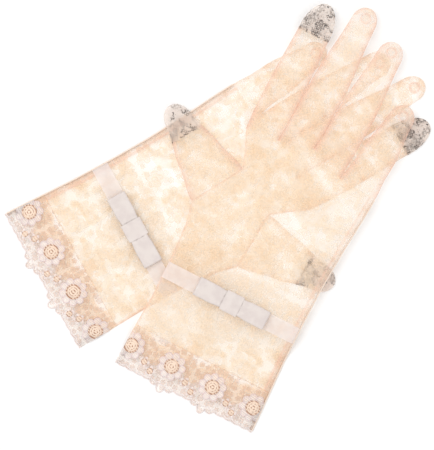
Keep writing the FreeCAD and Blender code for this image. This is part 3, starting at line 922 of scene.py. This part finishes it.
def makeRibbon(glove):
    shape = ribbonShape
    low, high = shape["along"] - shape["wide"] / 2, shape["along"] + shape["wide"] / 2

    def pointAt(column, row):
        y = mix(low, high, row)
        left, right = handEdges(y)
        x = mix(left, right, column)
        point = surfacePoint(glove, x, y, True, shape["over"])
        return x * mm, y * mm, point.z, 0.0

    mesh = wovenSheet(glove, f"{glove.name}Ribbon", 60, 8, pointAt, clothPlace)
    piece = addObject(f"{glove.name}Ribbon", mesh, [bandSatin], glove.body,
                      [f"{glove.name}_ribbon"])


def loopProfile(start, end, high):            # side view of a bow loop: out along the top, round, and back
    reach = (end - start) * 0.97
    points = []
    for k in range(13):
        crown = math.sin(math.pi * min(k / 12 * 0.62 + 0.30, 0.5)) ** 0.8
        points.append((start + reach * k / 12, high * (0.32 + 0.60 * crown)))
    for k in range(1, 8):
        turned = math.pi * k / 8
        points.append((start + reach + (end - start) * 0.03 * math.sin(turned),
                       high * (0.5 + 0.42 * math.cos(turned))))
    for k in range(13):
        points.append((start + reach * (1 - k / 12), high * (0.08 + 0.2 * k / 12)))
    return points


def makeBow(glove):
    shape = ribbonShape
    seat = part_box(f"{glove.name}_bow_knot")[0][2]
    for part, side in (("inner", -1), ("outer", 1)):
        profile = loopProfile(shape["knotHalf"] - shape["loopUnder"], shape["bowHalf"], shape["loopHigh"])

        def pointAt(column, row):
            x, z = profile[round(row * (len(profile) - 1))]
            away = (x - shape["knotHalf"]) / (shape["bowHalf"] - shape["knotHalf"])
            half = shape["bowWide"] / 2 * mix(0.9, 1.0, smooth(away * 2.5))
            share = 2 * column - 1
            y = shape["along"] + share * half
            fade = (1 - smooth(away * 3)) * z / shape["loopHigh"]
            dip = shape["loopDip"] * math.cos(share * math.pi * 2.5) * fade
            return side * x * mm, y * mm, seat + (z + dip) * mm, 0.0

        name = f"{glove.name}Bow{part.title()}"
        mesh = wovenSheet(glove, name, 16, len(profile) - 1, pointAt, clothPlace)
        piece = addObject(name, mesh, [bowSatin], f"{glove.name}_bow_{part}_loop",
                          [f"{glove.name}_bow_{part}"])
        wall = piece.modifiers.new("wall", "SOLIDIFY")
        wall.thickness = shape["thick"] * mm

    def corner(value):                        # squares off a sine or cosine, so the wrap is a flattened tube
        return math.copysign(abs(value) ** (2 / shape["squareness"]), value)

    def wrapPoint(column, row):               # the wrap goes round the bow's middle, with two soft pleats
        turned = 2 * math.pi * row
        across = 2 * column - 1
        y = shape["knotWide"] / 2 * corner(math.cos(turned))
        z = shape["knotHigh"] / 2 * corner(math.sin(turned))
        pleat = shape["pleat"] * math.cos(across * math.pi * 1.5) if z > 0 else 0
        lip = shape["lip"] * smooth((z / shape["knotHigh"] + 0.5) * 4 - 2.6)   # the top edge covers the loops
        x = across * (shape["knotHalf"] * mix(1.0, 0.96, abs(math.cos(turned))) + lip)
        height = seat + (shape["knotHigh"] / 2 + 0.15 + z * 0.98 + pleat) * mm
        return x * mm, (shape["along"] + y) * mm, height, 0.0

    name = f"{glove.name}BowKnot"
    mesh = wovenSheet(glove, name, 20, 40, wrapPoint, clothPlace)
    piece = addObject(name, mesh, [bowSatin], glove.body, [f"{glove.name}_bow_knot"])


for glove in (leftFrame, rightFrame):
    makeRibbon(glove)
    makeBow(glove)
print("ribbons and bows made")

seamShape = {"low": 1.6, "high": 150.0, "turns": 300, "swing": 1.5, "cord": 0.4, "thread": 0.16}


def makeSeam(glove):
    # overlocked seam: an edge cord and a zigzag thread that locks over it
    edge = []
    zigzag = []
    for k in range(seamShape["turns"] + 1):
        y = mix(seamShape["low"], seamShape["high"], k / seamShape["turns"])
        x = handEdges(y)[1]
        height = restHeight(glove, x * mm, y * mm) + 0.45 * mm
        edge.append(glove.place((x - 0.1) * mm, y * mm, height))
        swing = seamShape["swing"] if k % 2 else 0.1
        zigzag.append(glove.place((x - swing) * mm, y * mm, height + 0.3 * mm))
    mesh = joinMeshes(f"{glove.name}SideSeam",
                      [threadAlong("edgeCord", edge, seamShape["cord"] * mm),
                       threadAlong("lock", zigzag, seamShape["thread"] * mm, sides=4)])
    addObject(f"{glove.name}SideSeam", mesh, [seamThread], glove.body, [f"{glove.name}_side_seam"])


cornerShape = {"inward": 2.2, "swing": 1.5, "seamEnd": 15.0, "thumbEnd": 9.0, "pitch": 0.55, "radius": 0.11}


def makeCornerStitches(glove):
    # rows of brown whip stitches that hold the edging's ends at both sides of the cuff
    parts = []
    for edge, end in ((1, cornerShape["seamEnd"]), (0, cornerShape["thumbEnd"])):
        count = int(end / cornerShape["pitch"])
        points = []
        for k in range(count + 1):
            y = mix(cuffEdge(handEdges(2)[edge], True) + 0.4, end, k / count)
            swing = cornerShape["swing"] * (1 if k % 2 else -1)
            x = handEdges(y)[edge] + (cornerShape["inward"] + swing) * (-1 if edge else 1)
            points.append(surfacePoint(glove, x, y, True, 0.35))
        parts.append(threadAlong("whipStitch", points, cornerShape["radius"] * mm, sides=4))
    name = f"{glove.name}CornerStitches"
    addObject(name, joinMeshes(name, parts), [cornerThread], glove.body)


for glove in (leftFrame, rightFrame):
    makeSeam(glove)
    makeCornerStitches(glove)
print("seams made")

studio = {"floorTone": rgb(250, 250, 250), "cameraHeight": 2.4, "viewHigh": 256.5 * mm,
          "viewCentre": (-1.2 * mm, -4.6 * mm), "world": 0.655,
          "lamps": {"keyPanel": ((-0.7, 0.5, 1.4), 1.2, 12.4), "fillPanel": ((0.9, -0.6, 1.3), 1.4, 6.2)}}


def makeStudio():
    work = bmesh.new()
    bmesh.ops.create_grid(work, x_segments=1, y_segments=1, size=3.0)
    mesh = finishMesh(work, "studioFloor")
    floor = bpy.data.objects.new("studioFloor", mesh)
    bpy.context.scene.collection.objects.link(floor)
    sheet = shaderSheet("floorPaper")
    paper = sheet.surface(None, rough=0.9, specular=0.1)
    paper.inputs["Base Color"].default_value = studio["floorTone"]
    mesh.materials.append(sheet.show(paper))
    world = bpy.data.worlds.new("softWhite")
    world.use_nodes = True
    sky = world.node_tree.nodes["Background"]
    sky.inputs["Color"].default_value = (1, 1, 1, 1)
    sky.inputs["Strength"].default_value = studio["world"]
    bpy.context.scene.world = world
    for name, (place, size, power) in studio["lamps"].items():
        data = bpy.data.lights.new(name, "AREA")
        data.size = size
        data.energy = power
        lamp = bpy.data.objects.new(name, data)
        lamp.location = place
        lamp.rotation_euler = (-Vector(place)).to_track_quat("-Z", "Y").to_euler()
        bpy.context.scene.collection.objects.link(lamp)
    data = bpy.data.cameras.new("topCamera")
    data.sensor_fit = "VERTICAL"
    data.angle = 2 * math.atan(studio["viewHigh"] / 2 / studio["cameraHeight"])
    camera = bpy.data.objects.new("topCamera", data)
    camera.location = (*studio["viewCentre"], studio["cameraHeight"])
    bpy.context.scene.collection.objects.link(camera)
    scene = bpy.context.scene
    scene.camera = camera
    scene.view_settings.view_transform = "Standard"
    scene.cycles.transparent_max_bounces = 20
    scene.cycles.diffuse_bounces = 7


makeStudio()
print("studio made")
